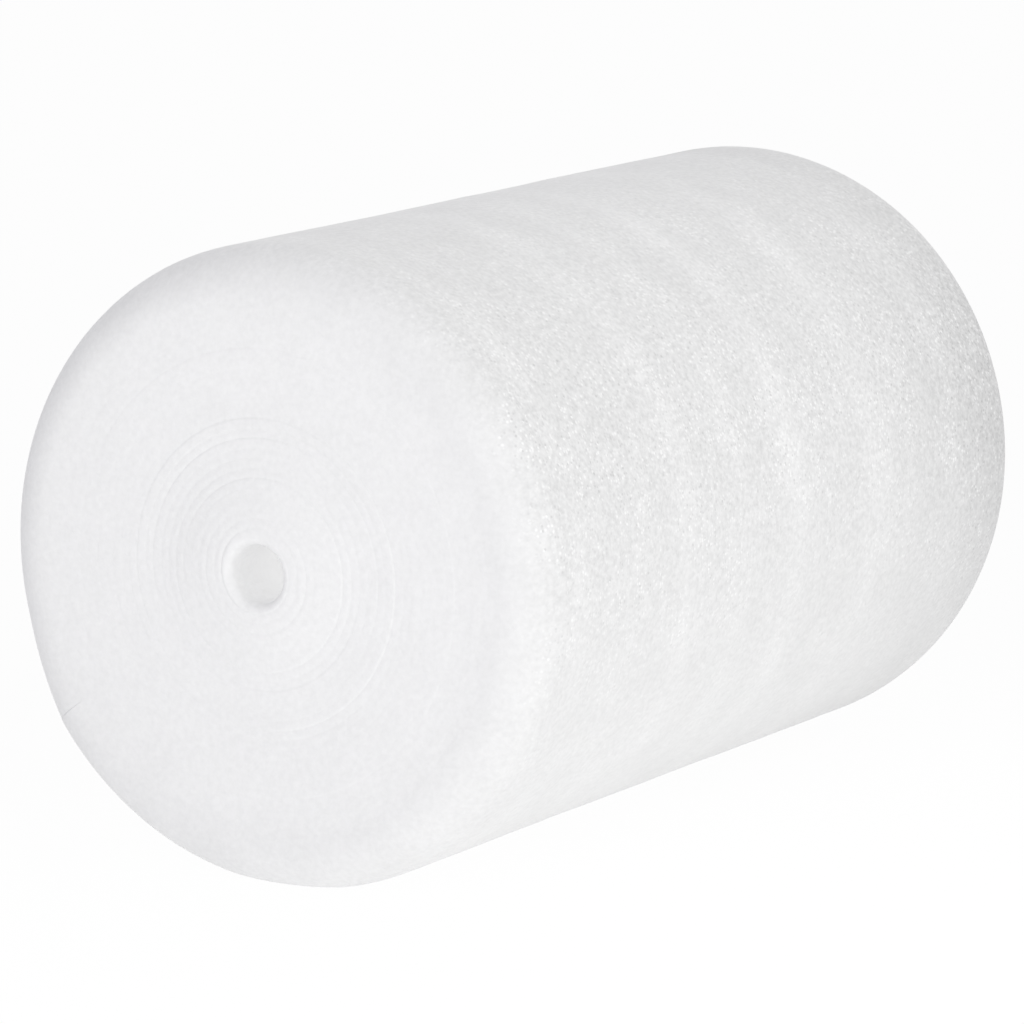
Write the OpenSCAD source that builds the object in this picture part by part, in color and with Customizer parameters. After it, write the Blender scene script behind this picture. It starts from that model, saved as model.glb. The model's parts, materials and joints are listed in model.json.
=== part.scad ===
// Foam wrap roll: one long web of white closed-cell foam, wound without a core and lying on its side.
// The roll's axis runs along X and its near end is at -X. The outer end of the web is at the back, +Y,
// and the flat spot that the soft roll rests on is at z = 0.

/* [Foam web] */
// Width of the web, which is the length of the roll
web_w = 305; // [240:5:600]
// Thickness of the web, which is also the pitch of its turns
web_t = 3; // [2:0.25:4]
// Number of turns wound round the hole
turns = 30; // [24:1:36]

/* [Winding] */
// Radius of the hole that the winding shaft left
bore_r = 9; // [6:0.5:14]
// Angle below the middle of the back at which the web ends
tail_angle = 35; // [0:5:60]
// Width of the open seam between two turns, where it meets an end of the roll
seam_w = 1; // [0.4:0.1:1.4]
// Depth of that seam
seam_depth = 1.2; // [0.6:0.2:2.4]

/* [Ends] */
// Radius of the soft shoulder at the near end
near_shoulder_r = 15; // [8:1:24]
// Radius of the soft shoulder at the far end
far_shoulder_r = 12; // [8:1:24]
// How far the inner turns have slipped along the roll, out of the near end and into the far one
slip = 3; // [1:0.5:6]
// Radius out to which the turns have slipped
slip_r = 42; // [30:1:45]

/* [Side] */
// Number of soft ridges that run round the roll
ridges = 5; // [3:1:7]
// Height of those ridges
ridge_h = 0.4; // [0.2:0.1:1]

/* [Rest] */
// Width of the flat spot under the roll
rest_w = 38; // [30:2:50]

/* [Hidden] */

foam = [0.95, 0.95, 0.95];
over_r = bore_r + turns * web_t;
under_r = over_r - web_t / 2;
half_w = web_w / 2;
arc_step = 15;
ridge_step = 60;
ridge_turn = 180 * (2 * ridges - 1);
past = 1;

// The roll's axis, with the box round the roll centred over the origin.
axis_y = web_t * (1 + cos(tail_angle)) / 4;
axis_z = sqrt(over_r * over_r - rest_w * rest_w / 4);

foam_roll();

function hundredth(v) = round(v * 100) / 100;

function backwards(points) = [for (i = [len(points) - 1 : -1 : 0]) points[i]];

// Slip of a turn at radius r: whole at the hole, none from slip_r outwards.
function slip_at(r) =
    let (share = max(0, min(1, (r - bore_r) / (slip_r - bore_r))))
    slip * (1 + cos(180 * share)) / 2;

// An end of the roll from the hole outwards, with a seam at every pitch from first_r to last_r.
function end_face(end_x, depth, first_r, last_r) = [
    for (r = [first_r : web_t : last_r])
        for (edge = [-1, 0, 1])
            let (at = r + edge * seam_w / 2)
            [at, hundredth(end_x - slip_at(at) + (edge == 0 ? depth : 0))]
];

// A shoulder's arc of radius s, from the side of the roll at angle 0 to its end at 90.
function shoulder(out_r, s, way, angles) = [
    for (a = angles)
        [hundredth(out_r - s + s * cos(a)), hundredth(way * (half_w - s + s * sin(a)))]
];

// The side between the shoulders: a wave from a crest at the near one to a dip at the far one.
function side(out_r) =
    let (
        near_x = near_shoulder_r - half_w,
        far_x = half_w - far_shoulder_r
    ) [
        for (a = [0 : ridge_step : ridge_turn - ridge_step])
            [
                hundredth(out_r - ridge_h * (1 - cos(a)) / 2),
                hundredth(near_x + (far_x - near_x) * a / ridge_turn)
            ]
    ];

// Half of the roll's section through its axis, as [radius, place along the axis].
module section(out_r, first_r) {
    far_r = out_r - ridge_h;
    near_flat_r = out_r - near_shoulder_r - seam_w / 2;
    far_flat_r = far_r - far_shoulder_r - seam_w / 2;
    polygon(concat(
        [[0, -half_w - slip], [bore_r - past, -half_w - slip]],
        end_face(-half_w, seam_depth, first_r, near_flat_r),
        shoulder(out_r, near_shoulder_r, -1, [90 : -arc_step : arc_step]),
        side(out_r),
        shoulder(far_r, far_shoulder_r, 1, [0 : arc_step : 90]),
        backwards(end_face(half_w, -seam_depth, first_r, far_flat_r)),
        [[bore_r - past, half_w - slip], [0, half_w - slip]]
    ));
}

// Half-turns round two centres make the spiral. The outer ones run from the end of the web, at +X,
// round the axis. The inner ones lie half a pitch further in, so each meets the next turn's start.
module outer_half_turns() {
    rotate([0, 0, 180]) rotate_extrude(angle = 180) section(over_r, bore_r + web_t);
}

module inner_half_turns() {
    translate([-web_t / 2, 0, 0])
    rotate_extrude(angle = 180) section(under_r, bore_r + 1.5 * web_t);
}

// The web wound round the Z axis, with its outer end at +X. The hole's own start line is turned off
// the plane in which the half-turns meet.
module wound_web() {
    difference() {
        union() {
            outer_half_turns();
            inner_half_turns();
        }
        rotate([0, 0, 45]) cylinder(h = web_w + 4 * slip, r = bore_r, center = true);
    }
}

module foam_roll() {
    color(foam)
    difference() {
        translate([slip / 2, axis_y, axis_z])
        rotate([0, 90, 0])
        rotate([0, 0, 90 - tail_angle])
        wound_web();
        translate([-web_w, -over_r - past, -over_r]) cube([2 * web_w, 2 * (over_r + past), over_r]);
    }
}
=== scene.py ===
"""A coreless roll of white foam wrap, with its turns, its soft skin and its cut edges."""
import json
import math

import bmesh
import bpy
import numpy as np
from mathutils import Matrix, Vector


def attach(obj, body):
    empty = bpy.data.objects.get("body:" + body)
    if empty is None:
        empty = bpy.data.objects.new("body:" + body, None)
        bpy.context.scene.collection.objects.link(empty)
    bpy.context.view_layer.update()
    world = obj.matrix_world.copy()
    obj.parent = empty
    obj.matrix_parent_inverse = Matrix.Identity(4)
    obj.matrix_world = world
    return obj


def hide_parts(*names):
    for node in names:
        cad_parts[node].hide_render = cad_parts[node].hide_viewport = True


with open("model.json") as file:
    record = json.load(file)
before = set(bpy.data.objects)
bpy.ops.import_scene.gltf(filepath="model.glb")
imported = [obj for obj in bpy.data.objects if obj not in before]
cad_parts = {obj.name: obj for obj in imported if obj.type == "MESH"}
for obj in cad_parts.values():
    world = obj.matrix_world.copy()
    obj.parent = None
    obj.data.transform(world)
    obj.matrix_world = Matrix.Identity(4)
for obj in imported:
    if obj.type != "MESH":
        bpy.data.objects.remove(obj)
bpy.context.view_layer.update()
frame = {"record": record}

MM = 0.001
SEED = 7
NOISE_KNOTS = 512

# The roll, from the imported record: the hole's axis, its radius and the web's width.
hole = next(m for m in frame["record"]["mounts"] if m["name"] == "core_bore")
AXIS = Vector(hole["pos_m"])
BORE_R = hole["dims"]["r_mm"] * MM
WEB_W = hole["dims"]["length_mm"] * MM

# The web and how it is wound.
WEB_T = 3 * MM
TURNS = 30
OVER_R = BORE_R + TURNS * WEB_T
TAIL = math.radians(125)           # from straight up towards the back, where the web ends

# The ends: how far the inner turns have slipped, and the soft shoulders.
SLIP = 3 * MM
SLIP_R = 42 * MM
NEAR_SHOULDER = 15 * MM
FAR_SHOULDER = 12 * MM
FAR_SHOULDER_LENGTH = 16 * MM      # along the roll
SEAM_DEPTH = 0.15 * MM
SEAM_SHARE = 0.16                  # half width of a seam, as a share of the pitch
SEAM_LEAST = 0.2                   # how open the outermost seams are, beside the inner ones
CROWN_SHARE = 0.3                  # how round a turn's edge is, as a share of the seams' depth
OPEN_TURNS = 9                     # the inner turns whose seams are open
OPEN_FADE = 5                      # the turns over which they close
TURN_JITTER = 0.07 * MM
MOUTH_R = 3 * MM                   # radius of the soft rim round the hole
TAIL_RAMP = math.radians(20)       # stretch in which the skin rises to the web's outer end
TAIL_RISE = 0.92                   # share of the web's thickness that it rises by
TAIL_ROUNDING = 0.2 * MM
TAIL_ROUNDING_ARC = math.radians(0.3)

# The side: soft bands round the roll, as (place along the web's width, strength, half width).
BANDS = [
    (0.07, 0.6, 6 * MM),
    (0.28, 0.8, 7 * MM),
    (0.39, 0.5, 6 * MM),
    (0.50, 1.0, 8 * MM),
    (0.67, 0.8, 8 * MM),
    (0.85, 0.7, 9 * MM),
]
BAND_H = 0.5 * MM
BAND_DRIFT = 2.5 * MM
BAND_RIPPLE = 1.2 * MM
WOBBLE = 0.16 * MM
REST_SOFTNESS = 0.5 * MM

# Where the side shows its marks most, as angles from straight up towards the back.
BANDS_AT = math.radians(302)
LIVELY_AT = math.radians(297)
CRINKLES_AND_SHADE_AT = math.radians(274)
BANDS_LEAST = 0.25
LIVELY_LEAST = 0.15
CRINKLES_AND_SHADE_LEAST = 0.3
CRINKLES_AND_SHADE_LENGTH = 130 * MM

# The foam's surface: its cells, its colours with their painted glints, highlights and shade, and a painted
# glow standing in for the light that comes through into the hole.
CELLS_PER_M = 1 / (1.25 * MM)
CUT_GREY = 0.905
SKIN_GREY = 0.862
BRIGHTEST = 0.99
RELIEF = 0.4 * MM
# Painted glints (bright dots) and painted shade in the pores (dark dots), in the skin's colour.
PAINTED_GLINT_DOT = 0.2
PAINTED_PORE_SHADE_DOT = -0.15
GRAIN = 0.09
GRAIN_LIVELY = 0.22
PATCH = 0.03
# Painted highlights on the bands.
BAND_PAINTED_HIGHLIGHT = 0.07
# Painted shade over the lively skin of the upper front.
LIVELY_PAINTED_SHADE = -0.03
# Painted shade on the far shoulder.
FAR_SHOULDER_PAINTED_SHADE = -0.15
HOLE_DEPTH = 9 * MM
# Painted glow on the hole's walls.
PAINTED_HOLE_GLOW = 0.16

# The mesh's fineness.
COLUMNS = 180
CUT_COLUMNS = (0, 0.12, 0.35, 0.8)     # degrees from the cut, of the columns close beside it
EVEN_FROM = 2                          # degrees from the cut, where the even columns start
MERGE = 0.002 * MM
PITCH_STEPS = (0.0, 0.07, 0.25, 0.5, 0.75, 0.93)
SHOULDER_STEPS = 12
SIDE_STEPS = 72
BORE_STEPS = 16

NEAR_X = AXIS.x + SLIP - WEB_W / 2     # plane of the near end's flat ring
FAR_X = NEAR_X + WEB_W


def value_noise(at, seed):
    """Smooth noise from -1 to 1 along a line."""
    knots = np.random.default_rng(SEED + seed).uniform(-1, 1, NOISE_KNOTS)
    cell = np.floor(at).astype(int)
    share = at - cell
    share = share * share * (3 - 2 * share)
    return knots[cell % NOISE_KNOTS] * (1 - share) + knots[(cell + 1) % NOISE_KNOTS] * share


def fall(phi):
    """How far the spiral has come in, phi after the web's outer end: a pitch in its second half-turn."""
    return np.where(phi > math.pi, WEB_T * (1 + np.cos(phi)) / 2, 0.0)


def slip_at(r):
    share = np.clip((r - BORE_R) / (SLIP_R - BORE_R), 0, 1)
    return SLIP * (1 + np.cos(math.pi * share)) / 2


def columns():
    """Angles after the web's outer end, closer together beside the cut."""
    edge = np.radians(CUT_COLUMNS)
    inner = np.linspace(np.radians(EVEN_FROM), np.radians(360 - EVEN_FROM), COLUMNS - 2 * len(edge) + 1)
    return np.concatenate([edge, inner, 2 * math.pi - edge[::-1]])


def turn_lines(shoulder):
    """Turn numbers of the lines on an end, from the hole out to the shoulder."""
    last = round((OVER_R - shoulder - BORE_R) / WEB_T)
    lines = [turn + step for turn in range(last) for step in PITCH_STEPS]
    return np.array(lines + [last])


def seam(q, web_at):
    """Depth of an end's surface at turn q, through the seams and the turns' crowns."""
    share = q - np.floor(q)
    near_seam = np.minimum(share, 1 - share)
    openness = 0.5 + 0.5 * value_noise(web_at / 3.1, 11)
    outwards = np.maximum(q - OPEN_TURNS, 0) / OPEN_FADE
    openness = openness * (SEAM_LEAST + (1 - SEAM_LEAST) * np.exp(-outwards ** 2))
    groove = np.exp(-(near_seam / SEAM_SHARE) ** 2)
    crown = CROWN_SHARE * (2 * near_seam - 1) ** 2
    return SEAM_DEPTH * openness * (groove + crown)


def end_face(phi, shoulder, plane, way, seed):
    """Points of an end as (x, r), one row for each turn line. way is the outward direction along X."""
    q = turn_lines(shoulder)[:, None]
    r = np.maximum(BORE_R + WEB_T * q - fall(phi)[None, :], BORE_R)
    turn = np.floor(q)
    web_at = turn * 2 * math.pi - phi[None, :]
    short_waves = 0.5 * value_noise(web_at / 2.3 + 40, seed)
    long_waves = 0.6 * value_noise(web_at / 9 + 90, seed + 1)
    jitter = TURN_JITTER * (short_waves + long_waves)
    fade = np.clip((q[-1] - q) / 1.5, 0, 1) * np.clip((r - BORE_R) / MOUTH_R, 0, 1)
    into_rim = np.clip(1 - (r - r[:1]) / MOUTH_R, 0, 1)
    mouth = MOUTH_R * (1 - np.sqrt(1 - into_rim ** 2))
    x = plane - slip_at(r) - way * (fade * (seam(q, web_at + 400) + jitter) + mouth)
    return x, r


def shoulder_arc(phi, size, length, plane, way):
    """Points of a shoulder as (x, r), from the end round to the side, without the end's own point."""
    a = np.linspace(0, math.pi / 2, SHOULDER_STEPS + 1)[1:, None]
    out_r = OVER_R - fall(phi)[None, :]
    return plane - way * length * (1 - np.cos(a)) + 0 * out_r, out_r - size * (1 - np.sin(a))


def band_at(x, theta):
    """The soft bands at x and theta, as shares of the highest. They are strongest on the upper front."""
    along = (x - NEAR_X) / WEB_W
    drift = BAND_DRIFT * np.sin(theta + 0.6) + BAND_RIPPLE * np.sin(3 * theta)
    bands = sum(
        share * np.exp(-(((along - place) * WEB_W + drift) / half_w) ** 2)
        for place, share, half_w in BANDS)
    upper_front = BANDS_LEAST + (1 - BANDS_LEAST) * np.maximum(np.cos(theta - BANDS_AT), 0) ** 3
    return bands * upper_front * (0.75 + 0.25 * np.sin(7 * theta + 9 * along))


def side_shape(x, theta):
    """How far the skin of the side stands out at x and theta, with its bands and its slow wobble."""
    along = (x - NEAR_X) / WEB_W
    out = BAND_H * band_at(x, theta)
    rng = np.random.default_rng(SEED)
    for k in range(2, 10):
        for m in (0.7, 1.9, 3.3):
            phase, drift = rng.uniform(0, 2 * math.pi, 2)
            out = out + WOBBLE / k * np.sin(k * theta + phase) * np.sin(2 * math.pi * m * along + drift)
    return out


def roll_columns():
    """The closed section of the roll at every column: arrays x, r and theta, and where its parts begin."""
    phi = columns()
    theta = TAIL + phi
    near_x, near_r = end_face(phi, NEAR_SHOULDER, NEAR_X, -1, 21)
    far_x, far_r = end_face(phi, FAR_SHOULDER, FAR_X, 1, 31)
    arc_near = shoulder_arc(phi, NEAR_SHOULDER, NEAR_SHOULDER, NEAR_X, -1)
    arc_far = shoulder_arc(phi, FAR_SHOULDER, FAR_SHOULDER_LENGTH, FAR_X, 1)
    side_x = np.linspace(NEAR_X + NEAR_SHOULDER, FAR_X - FAR_SHOULDER_LENGTH, SIDE_STEPS + 1)[1:-1, None]
    side_r = OVER_R - fall(phi)[None, :] + 0 * side_x
    side_x = side_x + 0 * side_r
    share = np.linspace(1, 0, BORE_STEPS + 1)[1:-1, None]
    bore_x = near_x[:1] + (far_x[:1] - near_x[:1]) * share
    bore_r = near_r[:1] + 0 * share
    x = np.concatenate([near_x, arc_near[0], side_x, arc_far[0][::-1], far_x[::-1], bore_x])
    r = np.concatenate([near_r, arc_near[1], side_r, arc_far[1][::-1], far_r[::-1], bore_r])
    skin = np.clip((r - (OVER_R - fall(phi) - NEAR_SHOULDER)) / NEAR_SHOULDER, 0, 1)
    r = r + skin * side_shape(x, theta[None, :])
    before_end = np.clip(1 - (2 * math.pi - phi) / TAIL_RAMP, 0, 1)
    rise = TAIL_RISE * WEB_T * before_end * (2 + before_end) / 3
    rounding = TAIL_ROUNDING * np.exp(-phi / TAIL_ROUNDING_ARC)
    near = len(near_x)
    far = near + 2 * SHOULDER_STEPS + SIDE_STEPS - 1
    parts = {"near": near, "far": far, "bore": far + len(far_x)}
    r[near:far] += rise - rounding
    return x, r, np.broadcast_to(theta, x.shape), skin, parts


def rest_on_floor(z):
    """The soft underside: what would reach below the floor is pressed flat, with a soft edge."""
    return (z + np.sqrt(z * z + REST_SOFTNESS ** 2)) / 2


def roll_mesh():
    x, r, theta, skin, parts = roll_columns()
    points, count = x.shape
    y = AXIS.y + r * np.sin(theta)
    z = rest_on_floor(AXIS.z + r * np.cos(theta))
    verts = np.stack([x, y, z], -1)
    per_turn = len(PITCH_STEPS)
    last = count - 1

    # At the cut, a line of the last column goes on as the line one turn further in.
    index = np.arange(points * count).reshape(points, count)
    near, far, bore = parts["near"], parts["far"], parts["bore"]
    for k in range(per_turn, near):
        index[k, last] = index[k - per_turn, 0]
    for k in range(far, bore - per_turn):
        index[k, last] = index[k + per_turn, 0]

    faces = []
    for k in range(points):
        k2 = (k + 1) % points
        for i in range(last):
            faces.append((index[k, i], index[k, i + 1], index[k2, i + 1], index[k2, i]))

    # The cut outer end of the web, and its inner end in the hole.
    tail = range(near - 1, far)
    for k in tail:
        faces.append((index[k, last], index[k, 0], index[k + 1, 0], index[k + 1, last]))
    faces.append(tuple(index[near - 1 - j, 0] for j in range(per_turn + 1)))
    faces.append(tuple(index[far + j, 0] for j in range(per_turn + 1)))
    inner = list(range(bore - 1, points)) + [0]
    for a, b in zip(inner, inner[1:]):
        faces.append((index[a, last], index[a, 0], index[b, 0], index[b, last]))
    faces.append(tuple(index[j, last] for j in range(per_turn + 1)))
    faces.append(tuple(index[bore - 1 - j, last] for j in range(per_turn + 1)))

    mesh = bpy.data.meshes.new("foam_roll_skin")
    faces = [f for f in (tuple(dict.fromkeys(f)) for f in faces) if len(f) > 2]
    mesh.from_pydata(verts.reshape(-1, 3).tolist(), [], faces)
    for name, values in surface_masks(x, r, theta, skin).items():
        mask = mesh.attributes.new(name, "FLOAT", "POINT")
        mask.data.foreach_set("value", values.ravel().astype(np.float32))
    return mesh


def smooth_step(at, start, end):
    share = np.clip((at - start) / (end - start), 0, 1)
    return share * share * (3 - 2 * share)


def surface_masks(x, r, theta, skin):
    """Where the foam shows its skin, how lively that is, its bands, and the depth inside the hole that sets
    the painted glow there.

    The far shoulder is crinkly and gets painted shade, most of all on the front of the roll.
    """
    # Strongest on the upper front of the side, where the relief, the grain, the painted glints and the
    # painted shade gather.
    lively_front = LIVELY_LEAST + (1 - LIVELY_LEAST) * np.maximum(np.cos(theta - LIVELY_AT), 0) ** 4
    depth = np.minimum(x - NEAR_X, FAR_X - x) + SLIP
    in_hole = (r < BORE_R + MOUTH_R) * np.clip((depth - MOUTH_R / 2) / HOLE_DEPTH, 0, 1)
    far_skin = smooth_step(r, OVER_R - 2.6 * FAR_SHOULDER, OVER_R - 0.8 * FAR_SHOULDER)
    near_skin = smooth_step(r, OVER_R - 2 * NEAR_SHOULDER, OVER_R - 0.3 * NEAR_SHOULDER)
    skin_seen = np.where(x > NEAR_X + WEB_W / 2, far_skin, near_skin)
    # The far shoulder's crinkles, and the painted shade that darkens it, strongest on the front.
    front = CRINKLES_AND_SHADE_LEAST + (1 - CRINKLES_AND_SHADE_LEAST) * np.maximum(np.cos(theta - CRINKLES_AND_SHADE_AT), 0) ** 4
    crinkles_and_shade = smooth_step(x, FAR_X - CRINKLES_AND_SHADE_LENGTH, FAR_X) ** 2 * skin_seen * front
    return {
        "skin": skin_seen,
        "lively": skin ** 3 * lively_front * (1 + 0.5 * crinkles_and_shade),
        "crinkles_and_shade": crinkles_and_shade,
        "band": band_at(x, theta) * np.clip((skin - 0.8) / 0.2, 0, 1),
        "in_hole": in_hole,
    }


def tidy(mesh):
    """Drops the points that the merged lines leave over, and turns all faces outwards."""
    bm = bmesh.new()
    bm.from_mesh(mesh)
    bmesh.ops.remove_doubles(bm, verts=bm.verts, dist=MERGE)
    loose = [v for v in bm.verts if not v.link_faces]
    bmesh.ops.delete(bm, geom=loose, context="VERTS")
    bmesh.ops.recalc_face_normals(bm, faces=bm.faces)
    open_edges = sum(1 for e in bm.edges if len(e.link_faces) != 2)
    print("roll: triangles", sum(len(f.verts) - 2 for f in bm.faces), "open edges", open_edges)
    for f in bm.faces:
        f.smooth = True
    bm.to_mesh(mesh)
    bm.free()


# Materials

class Nodes:
    """A short way to write a node tree."""

    def __init__(self, tree):
        self.tree = tree
        tree.nodes.clear()

    def add(self, kind, **settings):
        node = self.tree.nodes.new(kind)
        for name, value in settings.items():
            if name in node.inputs:
                node.inputs[name].default_value = value
            else:
                setattr(node, name, value)
        return node

    def link(self, out, socket):
        self.tree.links.new(out, socket)

    def math(self, operation, a, b=None, c=None, clamp=False):
        node = self.add("ShaderNodeMath", operation=operation, use_clamp=clamp)
        for socket, value in zip(node.inputs, (a, b, c)):
            if value is None:
                continue
            if isinstance(value, (int, float)):
                socket.default_value = value
            else:
                self.link(value, socket)
        return node.outputs[0]


def scaled(n, value, factor, offset=0.0):
    return n.math("MULTIPLY_ADD", value, factor, offset)


def dots(n, cells, low, high, radius):
    """Round dots, of a radius as a share of a cell, in the cells whose random number is from low to high."""
    split = n.add("ShaderNodeSeparateColor")
    n.link(cells.outputs["Color"], split.inputs[0])
    chosen = n.math("MULTIPLY", n.math("GREATER_THAN", split.outputs[0], low),
                    n.math("LESS_THAN", split.outputs[0], high))
    shape = scaled(n, n.math("POWER", cells.outputs["Distance"], 2.0), -1 / radius ** 2, 1.0)
    return n.math("MULTIPLY", chosen, n.math("MAXIMUM", shape, 0.0))


def foam_material():
    """White foam. The skin of the side is crinkly, with bright cells as painted glints and dark pores as
    painted shade in loose patches, and the cut edges on the ends are matt and finely grained. The colour
    also holds painted highlights on the bands, painted shade on the lively upper front and on the far
    shoulder, and a painted glow in the hole."""
    material = bpy.data.materials.new("white_foam")
    material.use_nodes = True
    n = Nodes(material.node_tree)
    out = n.add("ShaderNodeOutputMaterial")
    shader = n.add("ShaderNodeBsdfPrincipled")
    n.link(shader.outputs[0], out.inputs[0])
    shader.inputs["Roughness"].default_value = 0.4
    shader.inputs["Specular IOR Level"].default_value = 0.06
    skin, lively, crinkles_and_shade, band, in_hole = (
        n.add("ShaderNodeAttribute", attribute_name=name).outputs["Fac"]
        for name in ("skin", "lively", "crinkles_and_shade", "band", "in_hole"))

    place = n.add("ShaderNodeTexCoord").outputs["Object"]
    cells = n.add("ShaderNodeTexVoronoi", feature="F1", Scale=CELLS_PER_M)
    grain = n.add("ShaderNodeTexNoise", Scale=CELLS_PER_M * 0.7, Detail=1.0, Roughness=0.6)
    patches = n.add("ShaderNodeTexNoise", Scale=60.0, Detail=1.0)
    for node in (cells, grain, patches):
        n.link(place, node.inputs["Vector"])
    grain, patches = (scaled(n, node.outputs["Fac"], 1.0, -0.5) for node in (grain, patches))
    # Bright dots are painted glints, and dark dots are painted shade in the pores.
    bright = dots(n, cells, 0.72, 1.0, 0.5)
    dark = dots(n, cells, 0.0, 0.22, 0.45)

    # Relief: a fine grain, rougher where the skin is lively.
    bump = n.add("ShaderNodeBump", Strength=1.0, Distance=RELIEF)
    n.link(n.math("MULTIPLY", grain, scaled(n, lively, 0.7, 0.3)), bump.inputs["Height"])
    n.link(bump.outputs[0], shader.inputs["Normal"])

    # Colour: the dots (painted glints and painted shade in the pores) and the grain in loose patches,
    # painted highlights on the bands where the roll stands proud, and painted shade over the lively upper
    # front and on the far shoulder.
    patchy = n.math("MULTIPLY", lively, scaled(n, patches, 3.2, 0.75), clamp=True)
    spots = n.math("ADD", scaled(n, bright, PAINTED_GLINT_DOT), scaled(n, dark, PAINTED_PORE_SHADE_DOT))
    grey = scaled(n, skin, SKIN_GREY - CUT_GREY, CUT_GREY)
    for part in (
        n.math("MULTIPLY", spots, patchy),
        n.math("MULTIPLY", grain, scaled(n, lively, GRAIN_LIVELY, GRAIN)),
        n.math("MULTIPLY", patches, scaled(n, skin, PATCH, PATCH)),
        # painted highlights on the bands
        scaled(n, band, BAND_PAINTED_HIGHLIGHT),
        # painted shade over the lively upper front
        scaled(n, lively, LIVELY_PAINTED_SHADE),
        # painted shade on the far shoulder
        scaled(n, crinkles_and_shade, FAR_SHOULDER_PAINTED_SHADE),
    ):
        grey = n.math("ADD", grey, part)
    n.link(n.math("MINIMUM", grey, BRIGHTEST), shader.inputs["Base Color"])

    # Painted glow: emission on the hole's walls, growing with depth, standing in for light that comes
    # through the foam into the hole.
    shader.inputs["Emission Color"].default_value = (1, 1, 1, 1)
    n.link(scaled(n, in_hole, PAINTED_HOLE_GLOW), shader.inputs["Emission Strength"])
    material.cycles.emission_sampling = "NONE"
    return material


# The roll

mesh = roll_mesh()
tidy(mesh)
roll = bpy.data.objects.new("foam_wrap_roll", mesh)
bpy.context.scene.collection.objects.link(roll)
mesh.materials.append(foam_material())
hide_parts("foam_roll")
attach(roll, "root")


# Stage, light and camera

BRIGHT_SIDE = (-0.90, -0.36, -0.25)
PANELS = (-0.92, -0.39, 0.0)       # the tent's two bright panels stand across the roll from each other
COOL_SIDE = (-0.3, 0.93, -0.22)
TENT_DIM = 0.50
TENT_BRIGHT = 0.20
TENT_PANELS = 0.78
TENT_COOL = -0.36
COOL_RED = -0.11
COOL_GREEN = -0.13
FLOOR_SIZE = 8.0
FLOOR_GREY = 0.6
FLOOR_SEEN_WHITE = 0.94             # the rest of what the camera sees is the floor itself, with its shadow
FLOOR_FRONT = (-0.6, -0.8, 0.0)
FLOOR_RAMP = (-0.2, 0.3)
FLOOR_GLOW = (0.26, 0.64)           # behind the roll, and in front of it
SOFT_BOX = 0.4
CAMERA_UNIT = 98.7 * MM             # the roll's mean radius, in which the camera's place was fitted
CAMERA_PLACE = (-16.32, -10.06, 3.50)
CAMERA_LOOK = (0.8357, 0.5182, -0.1822)
CAMERA_LENS = 210.8


def seen_white(n):
    """1 for a ray that sees the background itself or mirrored, and 0 for one that gathers light."""
    path = n.add("ShaderNodeLightPath")
    mirrored = n.math("MAXIMUM", path.outputs["Is Glossy Ray"], path.outputs["Is Transmission Ray"])
    return n.math("MAXIMUM", path.outputs["Is Camera Ray"], mirrored)


def facing(n, direction, place="Generated"):
    """How far a place lies towards the given direction, or how far a direction of the world faces it."""
    towards = n.add("ShaderNodeVectorMath", operation="DOT_PRODUCT")
    n.link(n.add("ShaderNodeTexCoord").outputs[place], towards.inputs[0])
    towards.inputs[1].default_value = Vector(direction).normalized()
    return towards.outputs["Value"]


def add_floor():
    """A white floor that throws light back up, and keeps the roll's shadow."""
    corners = [(x * FLOOR_SIZE, y * FLOOR_SIZE, 0) for x, y in ((-1, -1), (1, -1), (1, 1), (-1, 1))]
    floor_mesh = bpy.data.meshes.new("floor")
    floor_mesh.from_pydata(corners, [], [(0, 1, 2, 3)])
    floor = bpy.data.objects.new("floor", floor_mesh)
    bpy.context.scene.collection.objects.link(floor)
    material = bpy.data.materials.new("floor")
    material.use_nodes = True
    n = Nodes(material.node_tree)
    out = n.add("ShaderNodeOutputMaterial")
    paper = n.add("ShaderNodeBsdfDiffuse", Color=(FLOOR_GREY, FLOOR_GREY, FLOOR_GREY, 1))
    glow = n.add("ShaderNodeEmission", Color=(1, 1, 1, 1))
    front = n.add("ShaderNodeMapRange")
    ends = zip(("From Min", "From Max", "To Min", "To Max"), FLOOR_RAMP + FLOOR_GLOW)
    for name, value in ends:
        front.inputs[name].default_value = value
    n.link(facing(n, FLOOR_FRONT, "Object"), front.inputs["Value"])
    n.link(front.outputs[0], glow.inputs["Strength"])
    lit = n.add("ShaderNodeAddShader")
    n.link(paper.outputs[0], lit.inputs[0])
    n.link(glow.outputs[0], lit.inputs[1])
    white = n.add("ShaderNodeEmission", Color=(1, 1, 1, 1), Strength=1.0)
    mix = n.add("ShaderNodeMixShader")
    n.link(n.math("MULTIPLY", seen_white(n), FLOOR_SEEN_WHITE), mix.inputs[0])
    n.link(lit.outputs[0], mix.inputs[1])
    n.link(white.outputs[0], mix.inputs[2])
    n.link(mix.outputs[0], out.inputs[0])
    material.cycles.emission_sampling = "NONE"
    floor_mesh.materials.append(material)


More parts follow.
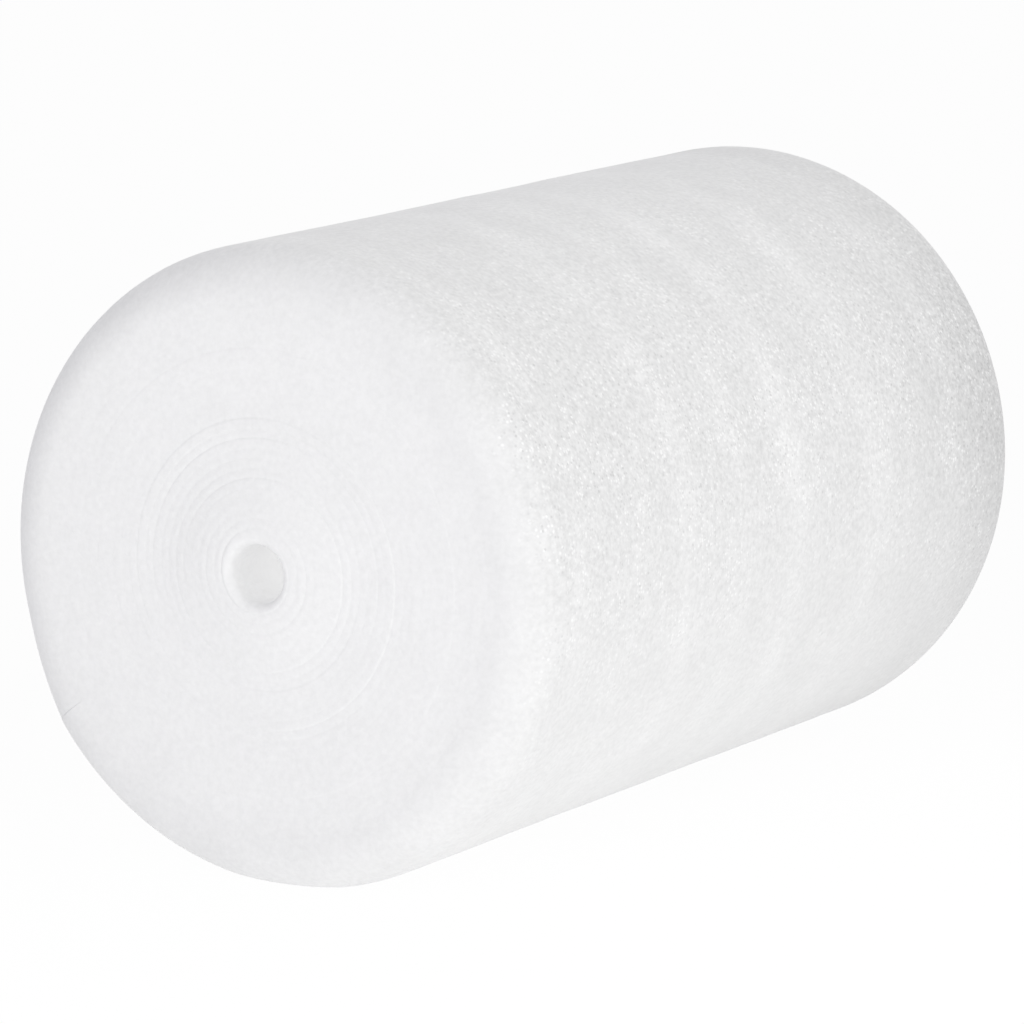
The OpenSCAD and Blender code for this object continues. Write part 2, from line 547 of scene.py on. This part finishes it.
def add_world():
    """A light tent, brightest in front of the near end, and white where the camera looks."""
    world = bpy.data.worlds.new("studio")
    bpy.context.scene.world = world
    world.use_nodes = True
    n = Nodes(world.node_tree)
    out = n.add("ShaderNodeOutputWorld")
    share = scaled(n, facing(n, BRIGHT_SIDE), 0.5, 0.5)
    cool = n.math("MAXIMUM", facing(n, COOL_SIDE), 0.0)
    panels = n.math("POWER", n.math("ABSOLUTE", facing(n, PANELS)), 2.0)
    strength = n.math("ADD", scaled(n, share, TENT_BRIGHT, TENT_DIM), scaled(n, panels, TENT_PANELS))
    strength = n.math("ADD", strength, scaled(n, cool, TENT_COOL))
    tint = n.add("ShaderNodeCombineColor", Blue=1.0)
    n.link(scaled(n, cool, COOL_RED, 1.0), tint.inputs["Red"])
    n.link(scaled(n, cool, COOL_GREEN, 1.0), tint.inputs["Green"])
    tent = n.add("ShaderNodeBackground")
    n.link(tint.outputs[0], tent.inputs["Color"])
    n.link(strength, tent.inputs["Strength"])
    white = n.add("ShaderNodeBackground", Color=(1, 1, 1, 1), Strength=1.0)
    mix = n.add("ShaderNodeMixShader")
    n.link(seen_white(n), mix.inputs[0])
    n.link(tent.outputs[0], mix.inputs[1])
    n.link(white.outputs[0], mix.inputs[2])
    n.link(mix.outputs[0], out.inputs[0])


def add_light(name, place, power):
    """A round soft box that faces the roll's near end."""
    data = bpy.data.lights.new(name, "AREA")
    data.shape = "DISK"
    data.size = SOFT_BOX
    data.energy = power
    lamp = bpy.data.objects.new(name, data)
    bpy.context.scene.collection.objects.link(lamp)
    lamp.location = place
    lamp.rotation_mode = "QUATERNION"
    lamp.rotation_quaternion = (lamp.location - Vector((NEAR_X, 0, AXIS.z))).to_track_quat("Z", "Y")


def add_camera():
    """The photograph's camera, found from the roll's outline and the place of its hole."""
    data = bpy.data.cameras.new("camera")
    data.sensor_width = 36
    data.lens = CAMERA_LENS
    camera = bpy.data.objects.new("camera", data)
    bpy.context.scene.collection.objects.link(camera)
    middle = Vector((NEAR_X + WEB_W / 2, AXIS.y, AXIS.z))
    camera.location = middle + Vector(CAMERA_PLACE) * CAMERA_UNIT
    camera.rotation_mode = "QUATERNION"
    camera.rotation_quaternion = Vector(CAMERA_LOOK).to_track_quat("-Z", "Y")
    bpy.context.scene.camera = camera


add_floor()
add_world()
add_light("soft_box_high", (NEAR_X + 0.05, -0.3, 0.7), 0.32)
add_light("soft_box_front", (NEAR_X - 0.1, -0.8, 0.15), 0.15)
add_camera()
bpy.context.scene.view_settings.view_transform = "Standard"
